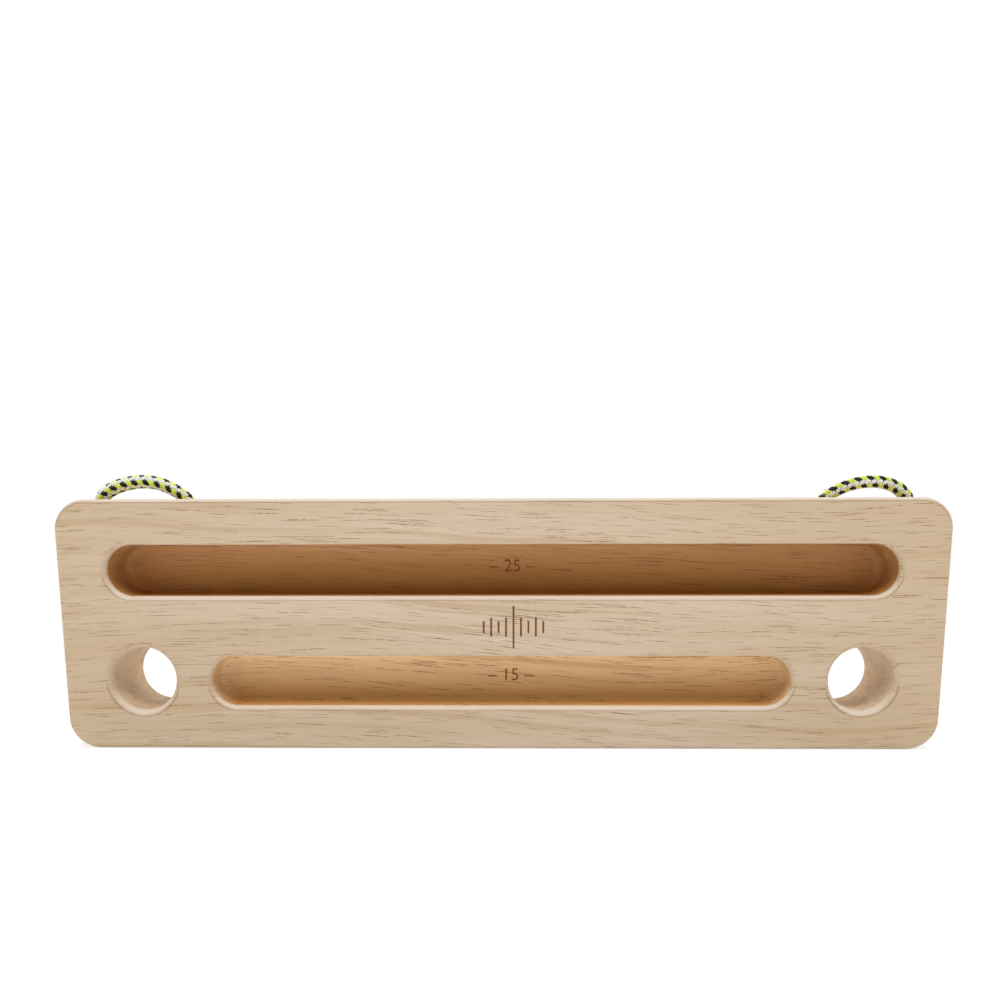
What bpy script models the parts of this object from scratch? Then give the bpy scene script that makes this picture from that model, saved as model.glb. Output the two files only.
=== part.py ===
"""Portable hangboard: a routed block of hardwood that hangs from a loop of braided cord at each end.

Metres, +Z up. The origin is the middle of the block's bottom face; the climber stands on the -Y side.
"""

from math import cos, pi, radians, sin, sqrt

import bmesh
import bpy
from mathutils import Matrix, Vector

# Block
BOARD_LENGTH = 0.500
BOARD_HEIGHT = 0.1425
BOARD_DEPTH = 0.040
CORNER_RADIUS = 0.0175
EDGE_RADIUS = 0.0025
# Grip slots, routed from the front; each drop runs from the top face to the slot's middle line
SLOT_HEIGHT = 0.0288
UPPER_SLOT_DEPTH = 0.025
UPPER_SLOT_DROP = 0.0398
UPPER_SLOT_END_WALL = 0.0275
LOWER_SLOT_DEPTH = 0.015
LOWER_SLOT_DROP = 0.103
LOWER_SLOT_END_WALL = 0.0845
SLOT_MOUTH_RADIUS = 0.003
FLOOR_RADIUS = 0.004
# Holes for slings, right through the block
HOLE_DIAMETER = 0.0365
HOLE_INSET = 0.045
HOLE_DROP = 0.1019
HOLE_MOUTH_RADIUS = 0.004
# Cord bores: they slope down and back from the top face to a spot face let into the back
LOOP_INSET = 0.042
BORE_SPACING = 0.049
BORE_DIAMETER = 0.012
BORE_ANGLE_DEGREES = 60
BORE_SETBACK = 0.017
BORE_MOUTH_RADIUS = 0.006
SEAT_DIAMETER = 0.021
SEAT_DEPTH = 0.001
# Cord
CORD_DIAMETER = 0.008
KNOT_STRAND = 0.0052
KNOT_PITCH = 0.0061
KNOT_SLACK = 0.012
TAIL_LENGTH = 0.012
TIP_LENGTH = 0.003
TOUCH_GAP = 0.0003
# A cutter starts this far outside the face it enters
OVERCUT = 0.00005
# Facets
CORNER_FACETS = 8
ROUNDING_FACETS = 4
SLOT_END_FACETS = 16
HOLE_FACETS = 48
BORE_FACETS = 24

FRONT = -BOARD_DEPTH / 2
BACK = BOARD_DEPTH / 2
BORE_MOUTH_Y = BACK - BORE_SETBACK
BORE_SLOPE = radians(BORE_ANGLE_DEGREES)
BORE_LENGTH = BORE_SETBACK / cos(BORE_SLOPE) - SEAT_DEPTH
BORE_AXIS = Vector((0, cos(BORE_SLOPE), -sin(BORE_SLOPE)))

# Each loop's free stretch in millimetres, from its left bore to its right one: x from the middle of the
# loop, y from the line between the bore mouths, z from the top face
LEFT_ROUTE = (
    (-25.9, 6.4, -11.0), (-26.1, 3.5, -6.0), (-26.7, 1.3, -2.2), (-25.3, -0.8, 1.5), (-20.8, -2.2, 5.3),
    (-14.2, -3.0, 8.4), (-6.5, -3.3, 10.3), (1.6, -3.4, 11.0), (9.4, -3.3, 10.0), (15.8, -2.8, 7.6),
    (21.0, -1.8, 4.3), (24.6, -0.7, 1.1), (26.1, 1.1, -2.4), (26.0, 3.5, -6.2), (25.8, 6.4, -11.0),
)
RIGHT_ROUTE = (
    (-23.0, 6.4, -11.0), (-23.2, 3.5, -6.2), (-22.6, 1.2, -2.2), (-19.6, -0.8, 1.8), (-14.2, -2.2, 5.4),
    (-8.4, -3.0, 7.9), (-2.0, -3.3, 9.4), (4.2, -3.4, 9.9), (10.6, -3.3, 9.4), (16.8, -2.8, 7.5),
    (22.0, -1.9, 4.6), (25.7, -0.7, 1.3), (26.8, 1.2, -2.4), (26.0, 3.5, -6.2), (25.8, 6.4, -11.0),
)


def collection(name):
    made = bpy.data.collections.new(name)
    bpy.context.scene.collection.children.link(made)
    return made


def material(name, colour, roughness, metallic=0.0):
    made = bpy.data.materials.new(name)
    made.use_nodes = True
    shader = made.node_tree.nodes["Principled BSDF"]
    shader.inputs["Base Color"].default_value = (*colour, 1)
    shader.inputs["Roughness"].default_value = roughness
    shader.inputs["Metallic"].default_value = metallic
    made.diffuse_color = (*colour, 1)
    return made


def place(data, name, look, parent=None):
    """The named piece made of this mesh or curve, in the object's collection."""
    piece = bpy.data.objects.new(name, data)
    data.materials.append(look)
    parts.objects.link(piece)
    piece.parent = parent
    return piece


def loft(name, rings):
    """A closed cutter through a row of outlines that have as many points each."""
    mesh = bmesh.new()
    loops = [[mesh.verts.new(point) for point in ring] for ring in rings]
    for near, far in zip(loops, loops[1:]):
        for i in range(len(near)):
            mesh.faces.new((near[i - 1], near[i], far[i], far[i - 1]))
    mesh.faces.new(loops[0])
    mesh.faces.new(loops[-1])
    bmesh.ops.recalc_face_normals(mesh, faces=mesh.faces)
    data = bpy.data.meshes.new(name)
    mesh.to_mesh(data)
    mesh.free()
    return cutter(name, data)


def cutter(name, data):
    made = bpy.data.objects.new(name, data)
    cutters.objects.link(made)
    made.hide_render = True
    made.display_type = "WIRE"
    return made


def cut(piece, tool):
    modifier = piece.modifiers.new(tool.name, "BOOLEAN")
    modifier.operation = "DIFFERENCE"
    modifier.solver = "EXACT"
    modifier.object = tool


def rounding(radius):
    """(growth, depth) steps of a mouth that opens outwards in a quarter round, from its face inwards."""
    steps = [i * pi / 2 / ROUNDING_FACETS for i in range(1, ROUNDING_FACETS + 1)]
    return [(radius, -OVERCUT)] + [(radius * (1 - sin(a)), radius * (1 - cos(a))) for a in steps]


def stadium(straight, radius, centre, y, facets):
    """A level outline with two straight sides and round ends, upright at this depth."""
    points = []
    for side in (1, -1):
        for i in range(facets + 1):
            angle = side * (pi / 2) - pi * i / facets
            points.append((centre[0] + side * straight / 2 + radius * cos(angle), y, centre[1] + radius * sin(angle)))
    return points


# Block: one plank with rounded corners, its front and back edges rounded over
def make_block():
    mesh = bmesh.new()
    bmesh.ops.create_cube(mesh, size=1)
    bmesh.ops.scale(mesh, vec=(BOARD_LENGTH, BOARD_DEPTH, BOARD_HEIGHT), verts=mesh.verts)
    bmesh.ops.translate(mesh, vec=(0, 0, BOARD_HEIGHT / 2), verts=mesh.verts)

    def runs_front_to_back(edge):
        return abs((edge.verts[0].co - edge.verts[1].co).y) > BOARD_DEPTH / 2

    corners = [edge for edge in mesh.edges if runs_front_to_back(edge)]
    bmesh.ops.bevel(
        mesh, geom=corners, offset=CORNER_RADIUS, segments=CORNER_FACETS, profile=0.5, affect="EDGES"
    )
    rims = [edge for edge in mesh.edges if not runs_front_to_back(edge)]
    bmesh.ops.bevel(
        mesh, geom=rims, offset=EDGE_RADIUS, segments=ROUNDING_FACETS, profile=0.5, affect="EDGES"
    )
    data = bpy.data.meshes.new("board")
    mesh.to_mesh(data)
    mesh.free()
    return place(data, "board", wood)


# Grip slots: a round-nosed cutter run along a line leaves a radius where the back wall meets the sides
def slot_cutter(name, end_wall, depth, drop):
    straight = BOARD_LENGTH - 2 * end_wall - SLOT_HEIGHT
    steps = [(grow, FRONT + y) for grow, y in rounding(SLOT_MOUTH_RADIUS)]
    for i in range(ROUNDING_FACETS + 1):
        angle = i * pi / 2 / ROUNDING_FACETS
        steps.append((-FLOOR_RADIUS * (1 - cos(angle)), FRONT + depth - FLOOR_RADIUS * (1 - sin(angle))))
    middle = (0, BOARD_HEIGHT - drop)
    return loft(
        name, [stadium(straight, SLOT_HEIGHT / 2 + grow, middle, y, SLOT_END_FACETS) for grow, y in steps]
    )


# Sling holes: right through, rounded on both faces
def hole_cutter(name, side):
    middle = (side * (BOARD_LENGTH / 2 - HOLE_INSET), BOARD_HEIGHT - HOLE_DROP)
    front = [(grow, FRONT + y) for grow, y in rounding(HOLE_MOUTH_RADIUS)]
    back = [(grow, BACK - y) for grow, y in rounding(HOLE_MOUTH_RADIUS)]
    steps = front + back[::-1]
    return loft(
        name, [stadium(0, HOLE_DIAMETER / 2 + grow, middle, y, HOLE_FACETS // 2) for grow, y in steps]
    )


# Cord bores: level sections of a sloping bore are ellipses, and the mouth opens over the top face
def bore_cutter(name, x):
    radius = BORE_DIAMETER / 2
    steps = rounding(BORE_MOUTH_RADIUS)
    steps.append((0, BORE_LENGTH * sin(BORE_SLOPE) + radius))
    rings = []
    for grow, depth in steps:
        middle = Vector((x, BORE_MOUTH_Y + depth / BORE_AXIS.z * -BORE_AXIS.y, BOARD_HEIGHT - depth))
        across = Vector((radius + grow, 0, 0))
        along = Vector((0, radius / sin(BORE_SLOPE) + grow, 0))
        turns = [2 * pi * i / BORE_FACETS for i in range(BORE_FACETS)]
        rings.append([middle + across * cos(a) + along * sin(a) for a in turns])
    return loft(name, rings)


# Seats: a spot face square to each bore, so that the stopper knot pulls up flat
def seat_cutter(name, x):
    radius = SEAT_DIAMETER / 2
    length = 2 * SEAT_DIAMETER
    facets = 2 * BORE_FACETS
    half_facet = pi / facets
    mesh = bmesh.new()
    bmesh.ops.create_cone(
        mesh, cap_ends=True, segments=facets, radius1=radius, radius2=radius, depth=length
    )
    seat = Vector((x, BORE_MOUTH_Y, BOARD_HEIGHT)) + BORE_AXIS * BORE_LENGTH
    # Half a facet's turn keeps its corners off the bore's own
    turn = BORE_AXIS.to_track_quat("Z", "Y").to_matrix().to_4x4() @ Matrix.Rotation(half_facet, 4, "Z")
    bmesh.ops.transform(
        mesh, matrix=Matrix.Translation(seat + BORE_AXIS * length / 2) @ turn, verts=mesh.verts
    )
    data = bpy.data.meshes.new(name)
    mesh.to_mesh(data)
    mesh.free()
    return cutter(name, data)


def smooth_path(points, spacing):
    """Evenly spaced points along a smooth curve through these ones (a Catmull-Rom spline)."""
    ends = [points[0] * 2 - points[1], *points, points[-1] * 2 - points[-2]]
    fine = []
    for before, start, end, after in zip(ends, ends[1:], ends[2:], ends[3:]):
        for i in range(20):
            t = i / 20
            fine.append(
                (start * 2 + (end - before) * t + (before * 2 - start * 5 + end * 4 - after) * t**2
                 + (start * 3 - before - end * 3 + after) * t**3) / 2
            )
    fine.append(points[-1])
    length = sum((b - a).length for a, b in zip(fine, fine[1:]))
    count = round(length / spacing)
    path = [fine[0]]
    gone = 0
    for a, b in zip(fine, fine[1:]):
        step = (b - a).length
        while len(path) < count and gone + step >= length * len(path) / count:
            path.append(a.lerp(b, (length * len(path) / count - gone) / step))
        gone += step
    return path + [fine[-1]]


def rope(name, path, diameter, look, parent):
    """A plain round tube along a path, with its ends closed."""
    curve = bpy.data.curves.new(name, "CURVE")
    curve.dimensions = "3D"
    curve.bevel_depth = diameter / 2
    curve.bevel_resolution = 2
    curve.use_fill_caps = True
    spline = curve.splines.new("POLY")
    spline.points.add(len(path) - 1)
    for point, place_at in zip(spline.points, path):
        point.co = (*place_at, 1)
    spline.use_smooth = True
    return place(curve, name, look, parent)


# Loops: the cord rises from one bore, bows over the top face and goes down the other
def make_cord(name, route, parent):
    arch = [Vector(point) / 1000 for point in route]
    end = BORE_LENGTH + KNOT_SLACK - TOUCH_GAP
    legs = []
    for side in (-1, 1):
        foot = Vector((side * BORE_SPACING / 2, 0, 0))
        legs.append([foot + BORE_AXIS * end, foot + BORE_AXIS * (end + BORE_LENGTH) / 2])
    return rope(name, smooth_path(legs[0] + arch + legs[1][::-1], CORD_DIAMETER / 2), CORD_DIAMETER, cord, parent)


def knot_path():
    """The middle line of a double overhand stopper, in its own frame: w runs away from the seat, the two
    inner strands lie side by side at u = -pitch/2 (from the loop) and u = +pitch/2 (the tail), and two
    turns wrap both of them on the way back to the seat. At each end the strand crosses over to a wrap."""
    pitch = KNOT_PITCH
    strand = pitch / 2
    wide, thick = 1.58 * pitch, 1.12 * pitch
    crossing = ((-0.02, -0.08, 0.39), (-0.02, -0.36, 0.75), (0.11, -0.75, 0.89), (0.46, -1.05, 0.79))
    rise = max(step[2] for step in crossing) * pitch
    first, last = radians(290), radians(970)
    lead = 0.56 * pitch
    near = rise + KNOT_STRAND / 2 + TOUCH_GAP
    drop = pitch * (last - first) / (2 * pi)
    far = near + drop - 2 * lead
    path = [(-strand, 0, w) for w in (0, near / 2, near, far)]
    path += [(-strand + u * pitch, v * pitch, far + w * pitch) for u, v, w in crossing]
    turns = round((last - first) / radians(30))
    for i in range(turns + 1):
        angle = first + (last - first) * i / turns
        path.append((wide * cos(angle), thick * sin(angle), far + lead - drop * i / turns))
    path += [(strand - u * pitch, v * pitch, near - w * pitch) for u, v, w in crossing[::-1]]
    length = far + rise + KNOT_STRAND / 2
    path += [(strand, 0, w) for w in (near, far, length, length + TAIL_LENGTH / 2, length + TAIL_LENGTH)]
    return path


# Stopper knots: each stands off its seat by the slack, with its tail and its melted tip behind it
def make_stopper(name, side, parent):
    start = Vector((side * BORE_SPACING / 2, 0, 0)) + BORE_AXIS * (BORE_LENGTH + KNOT_SLACK)
    across = Vector((side, 0, 0))
    back = Vector((0, sin(BORE_SLOPE), cos(BORE_SLOPE)))
    path = [
        start + back * (u + KNOT_PITCH / 2) + across * v + BORE_AXIS * w for u, v, w in knot_path()
    ]
    rope(name + "_knot", path, KNOT_STRAND, cord, parent)
    radius = KNOT_STRAND / 2
    mesh = bmesh.new()
    profile = [(0, 0), (1.04, 0), (1.08, 0.25), (1.0, 0.62), (0.72, 0.9), (0, 1)]
    edge = [mesh.verts.new((r * radius, 0, z * TIP_LENGTH)) for r, z in profile]
    for a, b in zip(edge, edge[1:]):
        mesh.edges.new((a, b))
    bmesh.ops.spin(
        mesh, geom=mesh.verts[:] + mesh.edges[:], cent=(0, 0, 0), axis=(0, 0, 1), angle=2 * pi, steps=16
    )
    bmesh.ops.remove_doubles(mesh, verts=mesh.verts, dist=1e-6)
    bmesh.ops.recalc_face_normals(mesh, faces=mesh.faces)
    data = bpy.data.meshes.new(name + "_tip")
    mesh.to_mesh(data)
    mesh.free()
    data.shade_smooth()
    tip = place(data, name + "_tip", melted, parent)
    tip.location = path[-1] + BORE_AXIS * TOUCH_GAP
    tip.rotation_euler = BORE_AXIS.to_track_quat("Z", "Y").to_euler()


def make_loop(name, side, route):
    """One loop hangs together and slides along its bores, so it is parented to an empty at their mouths."""
    slide = bpy.data.objects.new(name + "_loop", None)
    slide.location = (side * (BOARD_LENGTH / 2 - LOOP_INSET), BORE_MOUTH_Y, BOARD_HEIGHT)
    parts.objects.link(slide)
    make_cord(name + "_cord", route, slide)
    make_stopper(name + "_outer", side, slide)
    make_stopper(name + "_inner", -side, slide)


for old in list(bpy.data.objects):
    bpy.data.objects.remove(old, do_unlink=True)
parts = collection("portable_hangboard")
cutters = collection("cutters")
wood = material("oiled hardwood", (0.66, 0.48, 0.31), 0.55)
cord = material("braided cord sheath", (0.42, 0.47, 0.12), 0.85)
melted = material("melted sheath", (0.05, 0.05, 0.03), 0.35)

board = make_block()
for side_name, side in (("left", -1), ("right", 1)):
    for bore_name, way in (("outer", 1), ("inner", -1)):
        bore_x = side * (BOARD_LENGTH / 2 - LOOP_INSET + way * BORE_SPACING / 2)
        cut(board, seat_cutter(f"{side_name}_{bore_name}_seat", bore_x))
        cut(board, bore_cutter(f"{side_name}_{bore_name}_bore", bore_x))
cut(board, slot_cutter("upper_slot", UPPER_SLOT_END_WALL, UPPER_SLOT_DEPTH, UPPER_SLOT_DROP))
cut(board, slot_cutter("lower_slot", LOWER_SLOT_END_WALL, LOWER_SLOT_DEPTH, LOWER_SLOT_DROP))
cut(board, hole_cutter("left_hole", -1))
cut(board, hole_cutter("right_hole", 1))
make_loop("left", -1, LEFT_ROUTE)
make_loop("right", 1, RIGHT_ROUTE)
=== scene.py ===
"""Looks of the portable hangboard: a routed block of pale hardwood on two loops of braided cord."""

from math import atan2, cos, pi, radians, sin

import bmesh
import bpy
from mathutils import Matrix, Vector


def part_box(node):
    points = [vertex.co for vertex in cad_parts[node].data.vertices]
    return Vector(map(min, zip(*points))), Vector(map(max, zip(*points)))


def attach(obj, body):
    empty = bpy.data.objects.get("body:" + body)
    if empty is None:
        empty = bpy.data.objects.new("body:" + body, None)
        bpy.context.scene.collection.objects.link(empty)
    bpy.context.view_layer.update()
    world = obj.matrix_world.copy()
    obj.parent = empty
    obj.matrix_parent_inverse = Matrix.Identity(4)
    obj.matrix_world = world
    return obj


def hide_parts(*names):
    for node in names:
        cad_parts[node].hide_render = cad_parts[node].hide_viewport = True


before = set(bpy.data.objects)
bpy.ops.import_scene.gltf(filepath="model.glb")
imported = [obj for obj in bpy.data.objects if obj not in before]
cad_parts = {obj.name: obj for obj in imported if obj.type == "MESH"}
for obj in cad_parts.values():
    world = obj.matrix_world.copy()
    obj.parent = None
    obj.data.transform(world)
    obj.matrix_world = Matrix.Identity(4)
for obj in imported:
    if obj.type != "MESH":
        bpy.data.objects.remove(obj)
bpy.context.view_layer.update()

# Camera. The photograph was taken from about 0.4 m, near the middle of the block and a little above it,
# looking slightly down. The lens shift stands for the part of the picture that was cropped away.
FOCAL_LENGTH_PX = 729.0
PICTURE_PX = 1000
SENSOR_WIDTH = 36
LENS_SHIFT = (-0.0028, 0.1353)
NEAREST_SEEN = 0.01
CAMERA_PLACE = (0.0076, -0.4282, 0.1189)
CAMERA_TURN = 0.847
CAMERA_DIP = 7.365
CAMERA_ROLL = -0.11
camera_data = bpy.data.cameras.new("camera")
camera_data.sensor_width = SENSOR_WIDTH
camera_data.lens = FOCAL_LENGTH_PX / PICTURE_PX * SENSOR_WIDTH
camera_data.shift_x, camera_data.shift_y = LENS_SHIFT
camera_data.clip_start = NEAREST_SEEN
camera = bpy.data.objects.new("camera", camera_data)
camera.matrix_world = (
    Matrix.Translation(CAMERA_PLACE)
    @ Matrix.Rotation(radians(CAMERA_TURN), 4, "Z")
    @ Matrix.Rotation(radians(90 - CAMERA_DIP), 4, "X")
    @ Matrix.Rotation(radians(CAMERA_ROLL), 4, "Z")
)
bpy.context.scene.collection.objects.link(camera)
bpy.context.scene.camera = camera


# Cords: two lengths of 8 mm accessory cord, a white core inside a sheath that is plaited from eight ribbons
# of two polyester yarns each. Four white ribbons wind one way, two black and two yellow ones the other way,
# one over one. A cord is one length from melted tip to melted tip, so the plait runs on through both knots.
CORD_DIAMETER = 0.008
PLAIT_LEAD = 0.0132
PLAIT_SEGMENTS = 32
RIBBONS = 4
YARN_RADIUS = 0.00078
YARN_SPREAD = 1.12
YARN_WAVE = 0.0004
YARN_LIFT = 0.0001
SEAM_GAP = 1e-6


def linear(hex_colour):
    """An sRGB hex value as a linear colour."""
    levels = [int(hex_colour[i:i + 2], 16) / 255 for i in (0, 2, 4)]
    return [c / 12.92 if c <= 0.04045 else ((c + 0.055) / 1.055) ** 2.4 for c in levels] + [1]


def add(tree, kind, inputs=None, **settings):
    """A node with its settings. An input takes a value, a socket, or a node, whose first output it uses."""
    node = tree.nodes.new(kind)
    for key, value in settings.items():
        setattr(node, key, value)
    for key, value in (inputs or {}).items():
        if isinstance(value, bpy.types.Node):
            value = value.outputs[0]
        if isinstance(value, bpy.types.NodeSocket):
            tree.links.new(value, node.inputs[key])
        else:
            node.inputs[key].default_value = value
    return node


def surface(name):
    """A material with nothing in it but its output, and its node tree."""
    made = bpy.data.materials.new(name)
    made.use_nodes = True
    made.node_tree.nodes.clear()
    return made, made.node_tree, made.node_tree.nodes.new("ShaderNodeOutputMaterial")


def yarn_material(name, hex_colour, roughness, sheen):
    """Filament polyester: many fine filaments laid along the yarn, which soften its shine into a sheen.
    They are far too fine to show, so they are drawn as specks 0.6 mm long and 0.35 mm wide."""
    specks_along, specks_round = 260, 14
    made, tree, output = surface(name)
    uv = add(tree, "ShaderNodeTexCoord").outputs["UV"]
    place = add(
        tree, "ShaderNodeVectorMath", {0: uv, 1: (specks_along, specks_round, 1)}, operation="MULTIPLY"
    )
    specks = add(tree, "ShaderNodeTexNoise", {"Vector": place, "Scale": 1.0, "Detail": 3.0})
    tone = add(tree, "ShaderNodeValToRGB", {"Fac": specks})
    dyed = linear(hex_colour)
    shaded = [c * 0.74 for c in dyed[:3]] + [1]
    for stop, position, colour in zip(tone.color_ramp.elements, (0.3, 0.65), (shaded, dyed)):
        stop.position = position
        stop.color = colour
    bump = add(tree, "ShaderNodeBump", {"Height": specks, "Strength": 0.35, "Distance": 0.0001})
    shader = add(
        tree, "ShaderNodeBsdfPrincipled",
        {"Base Color": tone, "Roughness": roughness, "Normal": bump, "Sheen Weight": sheen,
         "Sheen Roughness": 0.5, "Specular IOR Level": 0.2},
    )
    tree.links.new(shader.outputs[0], output.inputs["Surface"])
    return made


# Undyed yarn scatters light and looks chalky. Black yarn is dyed through and shows only a faint grey sheen.
# Fluorescent yellow glows a little at its edges. The core's strands are loose and dull, and only fill gaps.
white_yarn = yarn_material("white polyester yarn", "F1F1EC", 0.62, 0.1)
black_yarn = yarn_material("black polyester yarn", "100E0C", 0.5, 0.05)
yellow_yarn = yarn_material("fluorescent yellow polyester yarn", "DDF055", 0.58, 0.4)
core_yarn = yarn_material("white core strands", "D9D6CE", 0.8, 0.1)


def smooth_path(points, spacing):
    """Evenly spaced points along a smooth curve through these ones (a Catmull-Rom spline)."""
    steps = 20
    ends = [points[0] * 2 - points[1], *points, points[-1] * 2 - points[-2]]
    fine = []
    for before, start, end, after in zip(ends, ends[1:], ends[2:], ends[3:]):
        for i in range(steps):
            t = i / steps
            fine.append(
                (start * 2 + (end - before) * t + (before * 2 - start * 5 + end * 4 - after) * t**2
                 + (start * 3 - before - end * 3 + after) * t**3) / 2
            )
    fine.append(points[-1])
    length = sum((b - a).length for a, b in zip(fine, fine[1:]))
    count = round(length / spacing)
    path = [fine[0]]
    gone = 0
    for a, b in zip(fine, fine[1:]):
        step = (b - a).length
        while len(path) < count and gone + step >= length * len(path) / count:
            path.append(a.lerp(b, (length * len(path) / count - gone) / step))
        gone += step
    return path + [fine[-1]]


def turning_frames(path):
    """(point, two directions square to the path) all along it, with no twist about the path."""
    last = len(path) - 1
    tangents = [(path[min(i + 1, last)] - path[max(i - 1, 0)]).normalized() for i in range(len(path))]
    across = tangents[0].orthogonal().normalized()
    frames = []
    for i, (point, tangent) in enumerate(zip(path, tangents)):
        if i:
            across = tangents[i - 1].rotation_difference(tangent) @ across
        across = (across - tangent * across.dot(tangent)).normalized()
        frames.append((point, across, tangent.cross(across)))
    return frames


def closed_mesh(curve):
    """A curve or a text as a closed bmesh, with its seams merged and its faces turned outwards."""
    drawn = bpy.data.objects.new(curve.name, curve)
    bpy.context.scene.collection.objects.link(drawn)
    graph = bpy.context.evaluated_depsgraph_get()
    made = bpy.data.meshes.new_from_object(drawn.evaluated_get(graph))
    bpy.data.objects.remove(drawn)
    mesh = bmesh.new()
    mesh.from_mesh(made)
    bpy.data.meshes.remove(made)
    bmesh.ops.remove_doubles(mesh, verts=mesh.verts, dist=SEAM_GAP)
    bmesh.ops.recalc_face_normals(mesh, faces=mesh.faces)
    return mesh


def new_piece(name, mesh, *looks):
    """An object at the origin that holds this bmesh and these materials."""
    made = bpy.data.meshes.new(name)
    mesh.to_mesh(made)
    mesh.free()
    for look in looks:
        made.materials.append(look)
    piece = bpy.data.objects.new(name, made)
    bpy.context.scene.collection.objects.link(piece)
    return piece


def tubes(name, lines, radii, looks):
    """One piece of round yarns, one along each line of points."""
    curve = bpy.data.curves.new(name, "CURVE")
    curve.dimensions = "3D"
    curve.bevel_depth = 1.0
    curve.bevel_resolution = 1
    curve.use_fill_caps = True
    for look in looks:
        curve.materials.append(look)
    for (line, look), radius in zip(lines, radii):
        spline = curve.splines.new("POLY")
        spline.points.add(len(line) - 1)
        for point, at in zip(spline.points, line):
            point.co = (*at, 1)
            point.radius = radius
        spline.material_index = look
        spline.use_smooth = True
    piece = new_piece(name, closed_mesh(curve), *looks)
    piece.data.shade_smooth()
    return piece


def plait(name, frames, start, stop, sizes, phase):
    """The eight ribbons and the core over one stretch of the cord. A ribbon lies on top at every other one
    of the eight columns round the cord, and dips under the ribbons of the other hand in between. The
    coloured yarns stand a little prouder, so their columns are the wider ones."""
    lines = []
    radii = []
    middle_scale = sizes[(start + stop) // 2] / CORD_DIAMETER
    for hand in (1, -1):
        for ribbon in range(RIBBONS):
            for yarn in (-1, 1):
                line = []
                for i in range(start, stop + 1):
                    point, across, up = frames[i]
                    scale = sizes[i] / CORD_DIAMETER
                    middle = (CORD_DIAMETER / 2 - YARN_RADIUS - YARN_WAVE - YARN_LIFT) * scale
                    turn = 2 * pi * (hand * i / PLAIT_SEGMENTS + ribbon / RIBBONS)
                    turn += hand * yarn * YARN_RADIUS * scale * YARN_SPREAD / middle
                    radius = middle + hand * (YARN_WAVE * cos(RIBBONS * turn) + YARN_LIFT) * scale
                    turn += phase
                    line.append(point + (across * cos(turn) + up * sin(turn)) * radius)
                look = 0 if hand < 0 else 1 + ribbon % 2
                lines.append((line, look))
                radii.append(YARN_RADIUS * middle_scale)
    core = [frames[i][0] for i in range(start, stop + 1)]
    lines.append((core, 3))
    radii.append((CORD_DIAMETER / 2 - 2 * YARN_RADIUS) * middle_scale)
    return tubes(name, lines, radii, (white_yarn, black_yarn, yellow_yarn, core_yarn))


# Knots: both ends of a cord are tied behind the block in a double overhand stopper, pulled so tight that
# its strands are thinner than the free cord and press flat against each other. The middle line of a knot is
# laid out for strands of 5.2 mm, and they are 5.9 mm across.
KNOT_STRAND = 0.0059
KNOT_PITCH = 0.0061
LAID_STRAND = 0.0052
TAIL_LENGTH = 0.012
TOUCH_GAP = 0.0003


def knot_path():
    """The middle line of a double overhand stopper, from its loop side to its tail, in its own frame."""
    pitch = KNOT_PITCH
    strand = pitch / 2
    wide, thick = 1.58 * pitch, 1.12 * pitch
    crossing = ((-0.02, -0.08, 0.39), (-0.02, -0.36, 0.75), (0.11, -0.75, 0.89), (0.46, -1.05, 0.79))
    rise = max(step[2] for step in crossing) * pitch
    first, last = radians(290), radians(970)
    lead = 0.56 * pitch
    near = rise + LAID_STRAND / 2 + TOUCH_GAP
    drop = pitch * (last - first) / (2 * pi)
    far = near + drop - 2 * lead
    path = [(-strand, 0, w) for w in (0, near / 2, near, far)]
    path += [(-strand + u * pitch, v * pitch, far + w * pitch) for u, v, w in crossing]
    turns = round((last - first) / radians(30))
    for i in range(turns + 1):
        angle = first + (last - first) * i / turns
        path.append((wide * cos(angle), thick * sin(angle), far + lead - drop * i / turns))
    path += [(strand - u * pitch, v * pitch, near - w * pitch) for u, v, w in crossing[::-1]]
    length = far + rise + LAID_STRAND / 2
    path += [(strand, 0, w) for w in (near, far, length, length + TAIL_LENGTH / 2, length + TAIL_LENGTH)]
    return path


# Melted tips: each cut end of the cord is melted with a flame, which stops the sheath from fraying and
# leaves a hard bead, a little wider than the tail that it closes.
TIP_RISE = 0.0021
TIP_SINK = 0.0009
TIP_SWELL = 0.04
TIP_FACETS_ROUND = 24
TIP_FACETS_UP = 14
LUMPS_PER_METRE = 900.0

# The yarns have run together into one glossy dark lump, with a yellow cast where the coloured yarn was
melted_sheath, tree, output = surface("melted polyester")
lumps = add(
    tree, "ShaderNodeTexNoise",
    {"Vector": add(tree, "ShaderNodeTexCoord").outputs["Object"], "Scale": LUMPS_PER_METRE, "Detail": 3.0},
)
tone = add(tree, "ShaderNodeValToRGB", {"Fac": lumps})
for stop, position, colour in zip(tone.color_ramp.elements, (0.35, 0.7), ("15140F", "6E6B3A")):
    stop.position = position
    stop.color = linear(colour)
bump = add(tree, "ShaderNodeBump", {"Height": lumps, "Strength": 0.6, "Distance": 0.0003})
shader = add(tree, "ShaderNodeBsdfPrincipled", {"Base Color": tone, "Roughness": 0.28, "Normal": bump})
tree.links.new(shader.outputs[0], output.inputs["Surface"])


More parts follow.
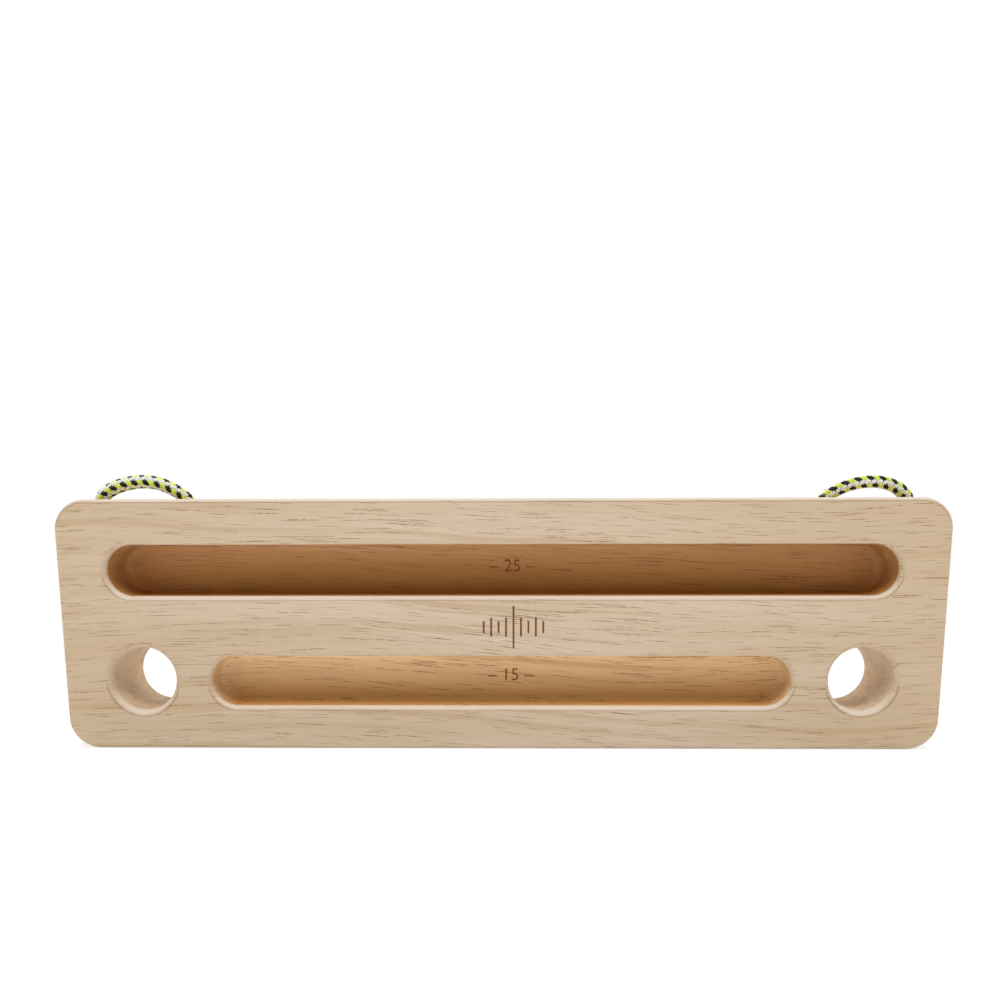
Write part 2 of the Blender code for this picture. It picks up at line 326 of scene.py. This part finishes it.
def melted_tip(name, base, direction, body):
    """The bead on the end of one tail."""
    mesh = bmesh.new()
    bmesh.ops.create_uvsphere(
        mesh, u_segments=TIP_FACETS_ROUND, v_segments=TIP_FACETS_UP, radius=KNOT_STRAND / 2
    )
    for vertex in mesh.verts:
        up = vertex.co.z / (KNOT_STRAND / 2)
        swell = 1.0 + TIP_SWELL * sin(3 * vertex.co.x * 1000 + 1.3) * cos(2 * vertex.co.y * 1000)
        vertex.co.x *= swell
        vertex.co.y *= swell
        vertex.co.z = TIP_RISE * up if up > 0 else TIP_SINK * up
    turn = direction.to_track_quat("Z", "Y").to_matrix().to_4x4()
    place = Matrix.Translation(base + direction * TIP_SINK) @ turn
    bmesh.ops.transform(mesh, matrix=place, verts=mesh.verts)
    tip = new_piece(name + "_melted_tip", mesh, melted_sheath)
    tip.data.shade_smooth()
    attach(tip, body)
    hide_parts(name + "_tip")
    return tip


# Loops: each cord goes down two bores at one end of the block, which slope from its top face to a seat in
# its back, and its knots hold it there. Between the bores it stands over the block as an arch, along a route
# whose points are measured in millimetres from midway between the two bores' mouths.
BORE_SPACING = 0.049
BORE_SLOPE = radians(60)
BORE_SETBACK = 0.017
SEAT_DEPTH = 0.001
LOOP_INSET = 0.042
KNOT_SLACK = 0.012
BORE_LENGTH = BORE_SETBACK / cos(BORE_SLOPE) - SEAT_DEPTH
BORE_AXIS = Vector((0, cos(BORE_SLOPE), -sin(BORE_SLOPE)))
LEFT_ROUTE = [Vector(point) / 1000 for point in (
    (-25.9, 6.4, -11.0), (-26.1, 3.5, -6.0), (-26.7, 1.3, -2.2), (-25.3, -0.8, 1.5), (-20.8, -2.2, 5.3),
    (-14.2, -3.0, 8.4), (-6.5, -3.3, 10.3), (1.6, -3.4, 11.0), (9.4, -3.3, 10.0), (15.8, -2.8, 7.6),
    (21.0, -1.8, 4.3), (24.6, -0.7, 1.1), (26.1, 1.1, -2.4), (26.0, 3.5, -6.2), (25.8, 6.4, -11.0),
)]
RIGHT_ROUTE = [Vector(point) / 1000 for point in (
    (-23.0, 6.4, -11.0), (-23.2, 3.5, -6.2), (-22.6, 1.2, -2.2), (-19.6, -0.8, 1.8), (-14.2, -2.2, 5.4),
    (-8.4, -3.0, 7.9), (-2.0, -3.3, 9.4), (4.2, -3.4, 9.9), (10.6, -3.3, 9.4), (16.8, -2.8, 7.5),
    (22.0, -1.9, 4.6), (25.7, -0.7, 1.3), (26.8, 1.2, -2.4), (26.0, 3.5, -6.2), (25.8, 6.4, -11.0),
)]
LEFT_TILT = radians(-13)
RIGHT_TILT = radians(38)
board_low, board_high = (Vector(corner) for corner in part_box("board"))


def hang_loop(name, side, route, column_tilt):
    """One loop, from the tip behind its left bore to the tip behind its right one. A black and yellow column
    of the plait faces the front of the block at its crown, tilted up by this angle."""
    body = name + "_loop"
    origin = Vector((side * (board_high.x - LOOP_INSET), board_high.y - BORE_SETBACK, board_high.z))
    back = Vector((0, sin(BORE_SLOPE), cos(BORE_SLOPE)))
    run = BORE_LENGTH + KNOT_SLACK
    halves = []
    for way in (-1, 1):
        foot = origin + Vector((way * BORE_SPACING / 2, 0, 0))
        across = Vector((way * side, 0, 0))
        knot = [
            foot + BORE_AXIS * (run + w) + back * (u + KNOT_PITCH / 2) + across * v
            for u, v, w in knot_path()
        ]
        bore = [foot + BORE_AXIS * (run - TOUCH_GAP + BORE_LENGTH) / 2]
        halves.append((knot, bore))
    arch = [origin + point for point in route]
    held = halves[0][1] + arch + halves[1][1]
    points = halves[0][0][::-1] + held + halves[1][0]
    path = smooth_path(points, PLAIT_LEAD / PLAIT_SEGMENTS)
    frames = turning_frames(path)
    ends = [min(range(len(path)), key=lambda i: (path[i] - halves[k][0][0]).length) for k in (0, 1)]
    crown = frames[(ends[0] + ends[1]) // 2]
    facing = Vector((0, -cos(column_tilt), sin(column_tilt)))
    phase = atan2(facing.dot(crown[2]), facing.dot(crown[1]))

    # The cord narrows to its size in the knot over two thirds of a turn of the plait
    ease = 2 * PLAIT_SEGMENTS // 3
    sizes = []
    for i in range(len(path)):
        into = min(max((ends[0] - i) / ease, (i - ends[1]) / ease, 0), 1)
        sizes.append(CORD_DIAMETER + (KNOT_STRAND - CORD_DIAMETER) * into)
    cord = plait(name + "_plaited_cord", frames, ends[0], ends[1], sizes, phase)
    pieces = []
    left, right = ("outer", "inner") if side < 0 else ("inner", "outer")
    for label, start, stop in ((left, 0, ends[0]), (right, ends[1], len(path) - 1)):
        knot = plait(f"{name}_{label}_plaited_knot", frames, start, stop, sizes, phase)
        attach(knot, body)
        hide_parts(f"{name}_{label}_knot")
        last, inner = (path[0], path[1]) if start == 0 else (path[-1], path[-2])
        tip = melted_tip(f"{name}_{label}", last, (last - inner).normalized(), body)
        pieces += [knot, tip]
    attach(cord, body)
    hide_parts(name + "_cord")


hang_loop("left", -1, LEFT_ROUTE, LEFT_TILT)
hang_loop("right", 1, RIGHT_ROUTE, RIGHT_TILT)


# Block: one plank of rubberwood, planed and sanded, its long pores showing as fine dark dashes along the
# grain. It is sawn to length, its corners and edges are rounded over and everything else is routed or bored.
CORNER_RADIUS = 0.0175
CORNER_FACETS = 32
EDGE_RADIUS = 0.0025
ROUNDING_FACETS = 9
OVERCUT = 0.00005
SHARPEST_SMOOTH = radians(35)

# The wood's grain, in millimetres: half the block's height and length, how far off the middle height the
# grain wanders freely and how far it wanders each way, and the half wave along which it falls, by how much
HALF_HEIGHT = 71.25
HALF_LENGTH = 250
FREE_HEIGHT = 56
GRAIN_SWAY = (0, 2, 15)
HALF_WAVE = 320
GRAIN_FALL = 7.0


def wood_material(name, tones, roughness, painted_slot_shade=None, painted_highlight_tone=None):
    """Rubberwood in the solid: every pattern is stretched along X, the grain, so the ends show end grain.
    The tones are those of pale wood, of the wood between, of darker fibres and of the pores. Painted slot
    shade is the height where a slot's painted shade starts, the height where it is darkest, its half length
    and that tone. Painted highlight tone is the colour of the painted highlight on rounded edges that face
    up and forward."""
    light_tone, mid_tone, fibre_tone, pore_tone = (linear(tone) for tone in tones)
    made, tree, output = surface(name)
    place = add(tree, "ShaderNodeTexCoord").outputs["Object"]
    millimetres = add(tree, "ShaderNodeVectorMath", {0: place, "Scale": 1000.0}, operation="SCALE")
    spot = add(tree, "ShaderNodeSeparateXYZ", {"Vector": millimetres}).outputs

    def blend(share, under, over):
        return add(tree, "ShaderNodeMix", {"Factor": share, 6: under, 7: over}, data_type="RGBA").outputs[2]

    def stretched(vector, sizes, seed):
        """This place in cells of these sizes, moved by a seed of its own."""
        per_cell = [1 / s for s in sizes]
        cells = add(tree, "ShaderNodeVectorMath", {0: vector, 1: per_cell}, operation="MULTIPLY")
        return add(tree, "ShaderNodeVectorMath", {0: cells, 1: (seed, seed, 0)}, operation="ADD")

    # The grain falls by 4 degrees to the right across the middle. It also wanders a few millimetres up and
    # down, but less so at the sawn top and bottom.
    sway = add(
        tree, "ShaderNodeTexNoise",
        {"Vector": stretched(millimetres, (120, 60, 60), 5.3), "Scale": 1.0, "Detail": 1.0},
    ).outputs["Color"]
    centred = add(tree, "ShaderNodeVectorMath", {0: sway, 1: (0.5, 0.5, 0.5)}, operation="SUBTRACT")
    above_middle = add(tree, "ShaderNodeMath", {0: spot["Z"], 1: HALF_HEIGHT}, operation="SUBTRACT")
    off_middle = add(tree, "ShaderNodeMath", {0: above_middle}, operation="ABSOLUTE")
    sawn_true = add(
        tree, "ShaderNodeMapRange",
        {"Value": off_middle, "From Min": HALF_HEIGHT, "From Max": FREE_HEIGHT, "To Min": 0.12,
         "To Max": 1.0},
    )
    shift = add(tree, "ShaderNodeVectorMath", {0: centred, 1: GRAIN_SWAY}, operation="MULTIPLY")
    shift = add(tree, "ShaderNodeVectorMath", {0: shift, "Scale": sawn_true}, operation="SCALE")
    turned = add(tree, "ShaderNodeMath", {0: spot["X"], 1: pi / HALF_WAVE}, operation="MULTIPLY")
    fall = add(tree, "ShaderNodeMath", {0: turned}, operation="SINE")
    fall = add(tree, "ShaderNodeMath", {0: fall, 1: GRAIN_FALL}, operation="MULTIPLY")
    fall = add(tree, "ShaderNodeCombineXYZ", {"Z": fall})
    grain = add(tree, "ShaderNodeVectorMath", {0: millimetres, 1: shift}, operation="ADD")
    grain = add(tree, "ShaderNodeVectorMath", {0: grain, 1: fall}, operation="ADD")

    def streaks(sizes, detail, seed):
        """Soft streaks of about this length, depth and thickness."""
        return add(
            tree, "ShaderNodeTexNoise",
            {"Vector": stretched(grain, sizes, seed), "Scale": 1.0, "Detail": detail},
        )

    def dashes(sizes, seed, rare, common, strength):
        """Spindle shaped marks of about this length, depth and thickness, in staggered rows of cells. Rare
        and common are the shares of the cells that stay empty, in patches with few marks and with many."""
        part = add(tree, "ShaderNodeSeparateXYZ", {"Vector": grain}).outputs
        slid = add(tree, "ShaderNodeMath", {0: part["Z"], 1: 22.0, 2: part["X"]}, operation="MULTIPLY_ADD")
        staggered = add(tree, "ShaderNodeCombineXYZ", {"X": slid, "Y": part["Y"], "Z": part["Z"]})
        cells = add(
            tree, "ShaderNodeTexVoronoi", {"Vector": stretched(staggered, sizes, seed), "Scale": 1.0}
        ).outputs
        chance = add(tree, "ShaderNodeSeparateColor", {"Color": cells["Color"]}).outputs
        limit = add(
            tree, "ShaderNodeMapRange",
            {"Value": streaks((60, 6, 6), 1.0, seed + 3), "From Min": 0.35, "From Max": 0.65, "To Min": rare,
             "To Max": common},
        )
        kept = add(tree, "ShaderNodeMath", {0: chance[0], 1: limit}, operation="GREATER_THAN")
        reach = add(tree, "ShaderNodeMath", {0: chance[1], 1: 0.3, 2: 0.25}, operation="MULTIPLY_ADD")
        inside = add(tree, "ShaderNodeMath", {0: reach, 1: cells["Distance"]}, operation="SUBTRACT")
        edged = add(tree, "ShaderNodeMath", {0: inside, 1: 10.0}, operation="MULTIPLY", use_clamp=True)
        ragged = add(
            tree, "ShaderNodeMapRange",
            {"Value": streaks((3.2, 0.7, 0.7), 1.0, seed + 9), "From Min": 0.38, "From Max": 0.52,
             "To Min": 0.3},
        )
        worn = add(tree, "ShaderNodeMath", {0: edged, 1: ragged}, operation="MULTIPLY")
        shown = add(tree, "ShaderNodeMath", {0: worn, 1: kept}, operation="MULTIPLY")
        return add(tree, "ShaderNodeMath", {0: shown, 1: strength}, operation="MULTIPLY")

    # Pale and darker bands of growth, darker towards both ends of the block
    bands = add(
        tree, "ShaderNodeMapRange",
        {"Value": streaks((240, 12, 12), 2.0, 3.1), "From Min": 0.3, "From Max": 0.7},
    )
    growth = add(
        tree, "ShaderNodeMapRange",
        {"Value": streaks((210, 16, 5), 2.0, 8.6), "From Min": 0.54, "From Max": 0.72, "To Max": 0.6},
    )
    along = add(tree, "ShaderNodeMath", {0: spot["X"]}, operation="ABSOLUTE")
    ends = add(
        tree, "ShaderNodeMapRange", {"Value": along, "From Min": 80, "From Max": HALF_LENGTH, "To Max": 0.4}
    )
    tone = blend(bands, mid_tone, light_tone)
    tone = blend(ends, tone, fibre_tone)
    tone = blend(growth, tone, fibre_tone)

    # Painted shade: a slot's back wall is painted browner lower down, where less light reaches it, and less
    # so at the slot's round ends
    if painted_slot_shade:
        shade_start_height, darkest_shade_height, half_slot, slot_shade_tone = painted_slot_shade
        share = add(
            tree, "ShaderNodeMapRange",
            {"Value": spot["Z"], "From Min": shade_start_height, "From Max": darkest_shade_height, "To Max": 0.9},
            interpolation_type="SMOOTHSTEP",
        )
        shade_kept_at_ends = add(
            tree, "ShaderNodeMapRange",
            {"Value": along, "From Min": half_slot - 12, "From Max": half_slot, "To Min": 1.0,
             "To Max": 0.3},
        )
        share = add(tree, "ShaderNodeMath", {0: share, 1: shade_kept_at_ends}, operation="MULTIPLY")
        tone = blend(share, tone, linear(slot_shade_tone))

    # Fine fibres, faint long lines and the open pores, which are drawn twice as wide as real ones of 0.25 mm
    # so that they show
    fibres = streaks((38, 0.8, 0.8), 3.0, 17.7)
    fibre_share = add(
        tree, "ShaderNodeMapRange", {"Value": fibres, "From Min": 0.45, "From Max": 0.8, "To Max": 0.35}
    )
    pores = dashes((20, 1.0, 0.56), 41.3, 0.84, 0.58, 0.85)
    lines = dashes((60, 1.6, 0.9), 63.9, 0.9, 0.68, 0.45)
    tone = blend(fibre_share, tone, fibre_tone)
    tone = blend(lines, tone, fibre_tone)
    tone = blend(pores, tone, pore_tone)

    # Painted highlight: the rounded edges that face up and forward are painted paler, as light from above
    # makes them look, with a thin line of painted shade where they start
    if painted_highlight_tone:
        facing = add(
            tree, "ShaderNodeSeparateXYZ", {"Vector": add(tree, "ShaderNodeNewGeometry").outputs["Normal"]}
        ).outputs
        forward = add(
            tree, "ShaderNodeMapRange", {"Value": facing["Y"], "From Min": -0.05, "From Max": -0.3}
        )
        upward = add(
            tree, "ShaderNodeMapRange",
            {"Value": facing["Z"], "From Min": 0.25, "From Max": 0.55, "To Max": 0.75},
        )
        rim = add(tree, "ShaderNodeMath", {0: forward, 1: upward}, operation="MULTIPLY")
        tone = blend(rim, tone, linear(painted_highlight_tone))
        begun = add(tree, "ShaderNodeMapRange", {"Value": facing["Z"], "From Min": 0.02, "From Max": 0.1})
        past = add(
            tree, "ShaderNodeMapRange",
            {"Value": facing["Z"], "From Min": 0.2, "From Max": 0.35, "To Min": 0.5, "To Max": 0.0},
        )
        still = add(
            tree, "ShaderNodeMapRange", {"Value": facing["Y"], "From Min": -0.88, "From Max": -0.96}
        )
        edge = add(tree, "ShaderNodeMath", {0: begun, 1: past}, operation="MULTIPLY")
        edge = add(tree, "ShaderNodeMath", {0: edge, 1: still}, operation="MULTIPLY")
        tone = blend(edge, tone, pore_tone)
    height = add(tree, "ShaderNodeMath", {0: fibres, 1: pores}, operation="SUBTRACT")
    bump = add(tree, "ShaderNodeBump", {"Height": height, "Strength": 0.2, "Distance": 0.0002})
    shader = add(
        tree, "ShaderNodeBsdfPrincipled",
        {"Base Color": tone, "Roughness": roughness, "Normal": bump, "IOR": 1.45, "Specular IOR Level": 0.3},
    )
    tree.links.new(shader.outputs[0], output.inputs["Surface"])
    return made


# The outside is sanded fine and left bare, so it is pale and matt. Its rounded edges carry a painted
# highlight
sanded_wood = wood_material(
    "sanded rubberwood", ("DAC7B1", "D1BB9F", "BFA27C", "876240"), 0.6, painted_highlight_tone="D4C8BA"
)

# A router cuts the slots. Their walls carry painted shade: their tones are warmer and browner than the
# sanded face, as the little light inside a slot makes them look, and the deep slot's are the browner ones
deep_slot_shaded_wood = wood_material(
    "deep routed rubberwood with painted shade", ("CE9E6E", "BF8E5E", "A5733F", "7A4E26"), 0.62, (118, 97, 222.5, "B57F3D")
)
shallow_slot_shaded_wood = wood_material(
    "shallow routed rubberwood with painted shade", ("EFD1A6", "E6C698", "C89C68", "83572E"), 0.62, (53, 26, 165.5, "C89450")
)

# The holes and bores cut across the fibres, which leaves their walls a little rougher. Their tones are
# painted lighter than the sanded face's, as painted light on the dim walls of the holes
bored_wood = wood_material("bored rubberwood", ("E2CCB0", "D5BB9C", "B39672", "84603C"), 0.66)

# A laser chars the wood to a dull brown
burnt_wood = wood_material("laser burnt rubberwood", ("9A6834", "8C5A2A", "6B401C", "4A2A12"), 0.8)


def rounding(radius):
    """(growth, depth) steps of a mouth that opens outwards in a quarter round, from its face inwards."""
    steps = [i * pi / 2 / ROUNDING_FACETS for i in range(1, ROUNDING_FACETS + 1)]
    return [(radius, -OVERCUT)] + [(radius * (1 - sin(a)), radius * (1 - cos(a))) for a in steps]


def skin(outlines, mouths=()):
    """A closed mesh stretched over a row of outlines with as many points each. The bands that start at the
    outlines listed in mouths are its rounded mouth and get the sanded look."""
    mesh = bmesh.new()
    last = None
    for i, outline in enumerate(outlines):
        points = [mesh.verts.new(point) for point in outline]
        loop = [mesh.edges.new((points[k - 1], points[k])) for k in range(len(points))]
        if last is None:
            mesh.faces.new(points)
        else:
            band = bmesh.ops.bridge_loops(mesh, edges=last + loop)["faces"]
            for face in band:
                face.material_index = 1 if i - 1 in mouths else 0
        last = loop
    mesh.faces.new(points)
    bmesh.ops.recalc_face_normals(mesh, faces=mesh.faces)
    return mesh


def stadium(straight, radius, centre, y, facets):
    """A level outline with two straight sides and round ends, upright at this depth."""
    points = []
    for side in (1, -1):
        for i in range(facets + 1):
            angle = side * (pi / 2) - pi * i / facets
            along = side * straight / 2 + radius * cos(angle)
            points.append((centre[0] + along, y, centre[1] + radius * sin(angle)))
    return points


mesh = bmesh.new()
bmesh.ops.create_cube(mesh, size=1)
size = board_high - board_low
bmesh.ops.scale(mesh, vec=size, verts=mesh.verts)
bmesh.ops.translate(mesh, vec=(board_low + board_high) / 2, verts=mesh.verts)
for radius, across, facets in ((CORNER_RADIUS, True, CORNER_FACETS), (EDGE_RADIUS, False, ROUNDING_FACETS)):
    edges = [e for e in mesh.edges if (abs((e.verts[0].co - e.verts[1].co).y) > size.y / 2) == across]
    bmesh.ops.bevel(
        mesh, geom=edges, offset=radius, segments=facets, profile=0.5, affect="EDGES", material=-1
    )
block = new_piece("routed_block", mesh, sanded_wood)
tools = []

# Cord seats and bores: four bores of 12 mm drilled from the top, each with a flat seat for its knot that is
# drilled from the back
BORE_DIAMETER = 0.012
BORE_MOUTH_RADIUS = 0.006
BORE_FACETS = 64
SEAT_DIAMETER = 0.021
bore_end = BORE_LENGTH * sin(BORE_SLOPE) + BORE_DIAMETER / 2
for side in (-1, 1):
    for way in (-1, 1):
        mouth = Vector((side * (board_high.x - LOOP_INSET) + way * BORE_SPACING / 2,
                        board_high.y - BORE_SETBACK, board_high.z))
        mesh = bmesh.new()
        bmesh.ops.create_cone(
            mesh, cap_ends=True, segments=BORE_FACETS, radius1=SEAT_DIAMETER / 2, radius2=SEAT_DIAMETER / 2,
            depth=2 * SEAT_DIAMETER,
        )
        half_facet = Matrix.Rotation(pi / BORE_FACETS, 4, "Z")
        turn = BORE_AXIS.to_track_quat("Z", "Y").to_matrix().to_4x4() @ half_facet
        middle = mouth + BORE_AXIS * (BORE_LENGTH + SEAT_DIAMETER)
        bmesh.ops.transform(mesh, matrix=Matrix.Translation(middle) @ turn, verts=mesh.verts)
        tools.append(new_piece("seat", mesh, bored_wood))
        outlines = []
        angles = [2 * pi * i / BORE_FACETS for i in range(BORE_FACETS)]
        for grow, depth in rounding(BORE_MOUTH_RADIUS) + [(0, bore_end)]:
            centre = mouth + BORE_AXIS * (depth / sin(BORE_SLOPE))
            wide = BORE_DIAMETER / 2 + grow
            long = BORE_DIAMETER / 2 / sin(BORE_SLOPE) + grow
            outlines.append([centre + Vector((wide * cos(a), long * sin(a), 0)) for a in angles])
        tools.append(new_piece("bore", skin(outlines, range(ROUNDING_FACETS)), bored_wood, sanded_wood))

# Grip slots: routed 25 mm and 15 mm deep with a round-nosed cutter, and rounded at the mouth. A slot is
# (distance of its end from the block's end, depth, drop of its middle line below the top face, look).
SLOT_HEIGHT = 0.0288
SLOT_MOUTH_RADIUS = 0.003
SLOT_END_FACETS = 40
FLOOR_RADIUS = 0.004
DEEP_SLOT = 0.025
SHALLOW_SLOT = 0.015
for end_wall, depth, drop, look in (
    (0.0275, DEEP_SLOT, 0.0398, deep_slot_shaded_wood), (0.0845, SHALLOW_SLOT, 0.103, shallow_slot_shaded_wood),
):
    steps = [(grow, board_low.y + y) for grow, y in rounding(SLOT_MOUTH_RADIUS)]
    for i in range(ROUNDING_FACETS + 1):
        angle = i * pi / 2 / ROUNDING_FACETS
        y = board_low.y + depth - FLOOR_RADIUS * (1 - sin(angle))
        steps.append((-FLOOR_RADIUS * (1 - cos(angle)), y))
    straight = size.x - 2 * end_wall - SLOT_HEIGHT
    outlines = [
        stadium(straight, SLOT_HEIGHT / 2 + grow, (0, board_high.z - drop), y, SLOT_END_FACETS)
        for grow, y in steps
    ]
    tools.append(new_piece("slot", skin(outlines, range(ROUNDING_FACETS)), look, sanded_wood))

# Sling holes: two holes of 36.5 mm right through the block, rounded on both faces
HOLE_DIAMETER = 0.0365
HOLE_INSET = 0.045
HOLE_DROP = 0.1019
HOLE_MOUTH_RADIUS = 0.004
HOLE_FACETS = 96
mouths = [*range(ROUNDING_FACETS), *range(ROUNDING_FACETS + 1, 2 * ROUNDING_FACETS + 1)]
for side in (-1, 1):
    steps = [(grow, board_low.y + y) for grow, y in rounding(HOLE_MOUTH_RADIUS)]
    steps += [(grow, board_high.y - y) for grow, y in rounding(HOLE_MOUTH_RADIUS)][::-1]
    centre = (side * (board_high.x - HOLE_INSET), board_high.z - HOLE_DROP)
    outlines = [stadium(0, HOLE_DIAMETER / 2 + grow, centre, y, HOLE_FACETS // 2) for grow, y in steps]
    tools.append(new_piece("hole", skin(outlines, mouths), bored_wood, sanded_wood))

# Burnt marks: a plain number between two dashes on each slot's back wall says how deep the slot is, and a
# plain scale of ticks between the slots marks the middle of the block. All are burnt 0.4 mm deep.
MARK_DEPTH = 0.0004
NUMBER_HEIGHT = 0.0072
FIGURE_SHARE = 0.69
for text, depth, x, drop in (("25", DEEP_SLOT, 0.007, 0.0383), ("15", SHALLOW_SLOT, 0.0059, 0.1019)):
    words = bpy.data.curves.new("number", "FONT")
    words.body = "\u2013 " + text + " \u2013"
    words.size = NUMBER_HEIGHT / FIGURE_SHARE
    words.align_x = "CENTER"
    words.align_y = "CENTER"
    words.extrude = MARK_DEPTH
    mesh = closed_mesh(words)
    place = Matrix.Translation((x, board_low.y + depth, board_high.z - drop))
    bmesh.ops.transform(mesh, matrix=place @ Matrix.Rotation(pi / 2, 4, "X"), verts=mesh.verts)
    tools.append(new_piece("number", mesh, burnt_wood))
SCALE_MIDDLE = (0.0076, 0.0717)
TICK_PITCH = 0.0042
TICK_WIDTH = 0.0011
TICK_ROUNDING = 0.0005
TICK_HEIGHTS = (0.007, 0.011, 0.007, 0.011, 0.024, 0.011, 0.007, 0.011, 0.007)
mesh = bmesh.new()
for i, height in enumerate(TICK_HEIGHTS):
    x = SCALE_MIDDLE[0] + (i - len(TICK_HEIGHTS) // 2) * TICK_PITCH
    place = Matrix.Translation((x, board_low.y, board_high.z - SCALE_MIDDLE[1]))
    sides = Matrix.Diagonal((TICK_WIDTH, 2 * MARK_DEPTH, height, 1))
    made = bmesh.ops.create_cube(mesh, size=1, matrix=place @ sides)["verts"]
    deep = [
        e for e in mesh.edges if e.verts[0] in made and abs((e.verts[0].co - e.verts[1].co).y) > MARK_DEPTH
    ]
    bmesh.ops.bevel(
        mesh, geom=deep, offset=TICK_ROUNDING, segments=4, profile=0.5, affect="EDGES", material=-1
    )
tools.append(new_piece("scale", mesh, burnt_wood))

# All of it is cut from the one plank. Edges that turn by more than 35 degrees stay sharp, and the roundings
# look smooth.
for tool in tools:
    modifier = block.modifiers.new(tool.name, "BOOLEAN")
    modifier.operation = "DIFFERENCE"
    modifier.solver = "EXACT"
    modifier.object = tool
    modifier.material_mode = "TRANSFER"
graph = bpy.context.evaluated_depsgraph_get()
cut_mesh = bpy.data.meshes.new_from_object(block.evaluated_get(graph))
block.modifiers.clear()
block.data = cut_mesh
for tool in tools:
    bpy.data.objects.remove(tool)
cut_mesh.shade_smooth()
cut_mesh.set_sharp_from_angle(angle=SHARPEST_SMOOTH)
weighted = block.modifiers.new("weighted normals", "WEIGHTED_NORMAL")
weighted.keep_sharp = True
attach(block, "block")
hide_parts("board")


# Stage: a plain pale floor that keeps the shadow, in a white studio. The room is white only to the camera,
# to glass and to polish, and the floor turns to that white further away from the block.
FLOOR_REACH = 6
SHADOW_REACH = 0.3
WHITE_REACH = 0.6
FLOOR_GLOW = 0.75


def seen_directly(tree):
    """1 for a ray that shows a surface to the camera, straight or through glass or polish, and else 0."""
    rays = add(tree, "ShaderNodeLightPath").outputs
    seen = add(
        tree, "ShaderNodeMath", {0: rays["Is Camera Ray"], 1: rays["Is Glossy Ray"]}, operation="MAXIMUM"
    )
    return add(tree, "ShaderNodeMath", {0: seen, 1: rays["Is Transmission Ray"]}, operation="MAXIMUM")


# Matt white paint on the studio floor, which takes a soft shadow
pale_floor, tree, output = surface("pale floor")
away = add(
    tree, "ShaderNodeVectorMath", {0: add(tree, "ShaderNodeTexCoord").outputs["Object"]}, operation="LENGTH"
).outputs["Value"]
lit = add(
    tree, "ShaderNodeMapRange",
    {"Value": away, "From Min": SHADOW_REACH, "From Max": WHITE_REACH, "To Min": FLOOR_GLOW, "To Max": 1.0},
)
share = add(tree, "ShaderNodeMath", {0: seen_directly(tree), 1: lit}, operation="MULTIPLY")
painted = add(tree, "ShaderNodeBsdfDiffuse", {"Color": linear("FCFCFC")})
bright = add(tree, "ShaderNodeEmission", {"Color": (1, 1, 1, 1), "Strength": 1.0})
mixed = add(tree, "ShaderNodeMixShader", {"Fac": share, 1: painted, 2: bright})
tree.links.new(mixed.outputs[0], output.inputs["Surface"])
mesh = bmesh.new()
bmesh.ops.create_grid(mesh, x_segments=1, y_segments=1, size=FLOOR_REACH)
floor = new_piece("floor", mesh, pale_floor)

# A white backdrop stands behind the block and lights it from there and through its holes. The room's level
# rises from 0.1 in front of the block to 1.7 behind it.
DIM_SIDE = (-0.1, 0.1)
BRIGHT_SIDE = (0.5, 1.7)
world = bpy.data.worlds.new("studio")
world.use_nodes = True
tree = world.node_tree
tree.nodes.clear()
output = add(tree, "ShaderNodeOutputWorld")
towards = add(
    tree, "ShaderNodeSeparateXYZ", {"Vector": add(tree, "ShaderNodeTexCoord").outputs["Generated"]}
).outputs["Y"]
level = add(
    tree, "ShaderNodeMapRange",
    {"Value": towards, "From Min": DIM_SIDE[0], "To Min": DIM_SIDE[1], "From Max": BRIGHT_SIDE[0],
     "To Max": BRIGHT_SIDE[1]},
)
fill = add(tree, "ShaderNodeBackground", {"Color": (1, 1, 1, 1), "Strength": level})
white = add(tree, "ShaderNodeBackground", {"Color": (1, 1, 1, 1), "Strength": 1.0})
mixed = add(tree, "ShaderNodeMixShader", {"Fac": seen_directly(tree), 1: fill, 2: white})
tree.links.new(mixed.outputs[0], output.inputs["Surface"])
bpy.context.scene.world = world

# One wide softbox hangs over the block, a little in front of it
LAMP_PLACE = (0, -1.35, 4.5)
LAMP_WIDTH = 7.8
LAMP_DEPTH = 2.4
LAMP_WATTS = 290
lamp_data = bpy.data.lights.new("overhead softbox", "AREA")
lamp_data.shape = "RECTANGLE"
lamp_data.size = LAMP_WIDTH
lamp_data.size_y = LAMP_DEPTH
lamp_data.energy = LAMP_WATTS
lamp = bpy.data.objects.new("overhead softbox", lamp_data)
lamp.location = LAMP_PLACE
bpy.context.scene.collection.objects.link(lamp)
bpy.context.scene.view_settings.view_transform = "Standard"
